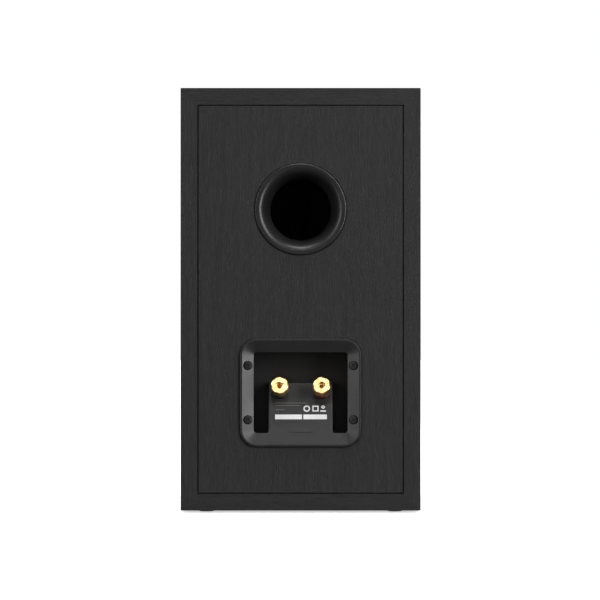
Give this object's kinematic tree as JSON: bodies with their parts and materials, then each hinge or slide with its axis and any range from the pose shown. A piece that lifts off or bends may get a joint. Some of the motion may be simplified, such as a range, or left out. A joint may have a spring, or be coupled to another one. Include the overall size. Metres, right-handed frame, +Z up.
{
  "type": "bookshelf speaker",
  "caption": "Upright box loudspeaker with a cone woofer and a dome tweeter in front, and a flared reflex port and screw terminals in a recessed cup behind.",
  "frame": {"origin": "on the surface that the feet stand on, at the centre of the overall box", "axes": "+Z up, -Y out of the front baffle, +Y out of the rear panel with its port and terminals, +X to the right as seen from in front"},
  "size_m": [0.2, 0.3009, 0.354],
  "materials": {
    "black_ash_wrap": "satin black wood-grain foil on board",
    "baffle_paint": "satin black paint on board",
    "raw_board": "bare fibreboard",
    "black_plastic": "satin moulded plastic",
    "red_plastic": "glossy red plastic",
    "gold_plate": "polished, gold plated",
    "black_rubber": "matt rubber",
    "seal_foam": "closed-cell foam",
    "black_screws": "black zinc plated steel",
    "zinc_steel": "zinc plated steel",
    "ferrite": "bare ferrite",
    "cast_frame": "black painted casting",
    "paper_cone": "pressed wood-fibre paper",
    "dust_cap_paper": "pressed paper",
    "spider_cloth": "resin-dipped cotton",
    "dome_cloth": "coated woven fabric",
    "copper_wire": "enamelled copper",
    "former_film": "amber film",
    "circuit_board": "phenolic board",
    "capacitor_film": "wrapped film",
    "resistor_cement": "cement body",
    "nylon": "moulded nylon",
    "tin_plate": "tinned brass",
    "label_film": "printed foil",
    "red_wire": "soft red insulation",
    "black_wire": "soft black insulation",
    "wadding": "polyester fibre"
  },
  "bodies": {
    "cabinet": {"bottom_panel": "black_ash_wrap", "choke_spools": "nylon", "choke_windings": "copper_wire", "crossover_board": "circuit_board", "crossover_capacitors": "capacitor_film", "crossover_resistor": "resistor_cement", "crossover_screws": "zinc_steel", "crossover_standoffs": "nylon", "crossover_tabs": "tin_plate", "driver_gaskets": "seal_foam", "feet": "black_rubber", "front_baffle": "baffle_paint", "grille_sockets": "black_rubber", "left_side_panel": "black_ash_wrap", "negative_leads": "black_wire", "negative_post_base": "black_plastic", "negative_post_stud": "gold_plate", "port_flare": "black_plastic", "port_tube": "black_plastic", "positive_leads": "red_wire", "positive_post_base": "black_plastic", "positive_post_stud": "gold_plate", "post_nuts": "gold_plate", "post_solder_tags": "tin_plate", "rating_label": "label_film", "rear_panel": "black_ash_wrap", "right_side_panel": "black_ash_wrap", "shelf_brace": "raw_board", "side_wadding": "wadding", "terminal_cup": "black_plastic", "terminal_cup_gasket": "seal_foam", "terminal_cup_screws": "black_screws", "top_panel": "black_ash_wrap", "top_wadding": "wadding", "tweeter_faceplate": "black_plastic", "tweeter_magnet": "ferrite", "tweeter_rear_chamber": "black_plastic", "tweeter_screws": "black_screws", "tweeter_surround": "dome_cloth", "tweeter_tabs": "tin_plate", "tweeter_top_plate": "zinc_steel", "tweeter_yoke": "zinc_steel", "woofer_basket": "cast_frame", "woofer_magnet": "ferrite", "woofer_screws": "black_screws", "woofer_spider": "spider_cloth", "woofer_surround": "black_rubber", "woofer_tabs": "tin_plate", "woofer_top_plate": "zinc_steel", "woofer_yoke": "zinc_steel"},
    "woofer_diaphragm": {"woofer_cone": "paper_cone", "woofer_dust_cap": "dust_cap_paper", "woofer_coil_former": "former_film", "woofer_coil_winding": "copper_wire"},
    "tweeter_diaphragm": {"tweeter_dome": "dome_cloth", "tweeter_voice_coil": "copper_wire"},
    "positive_ring": {"positive_post_collar": "red_plastic"},
    "positive_knob": {"positive_post_knob": "gold_plate"},
    "negative_ring": {"negative_post_collar": "black_plastic"},
    "negative_knob": {"negative_post_knob": "gold_plate"}
  },
  "joints": [
    {"name": "woofer_stroke", "type": "slide", "parent": "cabinet", "child": "woofer_diaphragm", "axis": [0, -1, 0], "range_m": [-0.005, 0.005], "stiffness_N_per_m": 950, "deforming": ["woofer_surround", "woofer_spider"]},
    {"name": "tweeter_stroke", "type": "slide", "parent": "cabinet", "child": "tweeter_diaphragm", "axis": [0, -1, 0], "range_m": [-0.0003, 0.0003], "stiffness_N_per_m": 100, "deforming": ["tweeter_surround"]},
    {"name": "negative_ring_slide", "type": "slide", "parent": "cabinet", "child": "negative_ring", "axis": [0, 0.9272, 0.3746], "range_m": [0, 0.00501]},
    {"name": "negative_knob_turn", "type": "hinge", "parent": "negative_ring", "child": "negative_knob", "pos_m": [0.0175, 0.13924, 0.10343], "axis": [0, 0.9272, 0.3746], "range_deg": [0, 1800]},
    {"name": "positive_ring_slide", "type": "slide", "parent": "cabinet", "child": "positive_ring", "axis": [0, 0.9272, 0.3746], "range_m": [0, 0.00501]},
    {"name": "positive_knob_turn", "type": "hinge", "parent": "positive_ring", "child": "positive_knob", "pos_m": [-0.0175, 0.13924, 0.10343], "axis": [0, 0.9272, 0.3746], "range_deg": [0, 1800]}
  ],
  "couplings": [
    {"joint": "negative_ring_slide", "follows": "negative_knob_turn", "m_per_rad": 0.00015915},
    {"joint": "positive_ring_slide", "follows": "positive_knob_turn", "m_per_rad": 0.00015915}
  ]
}
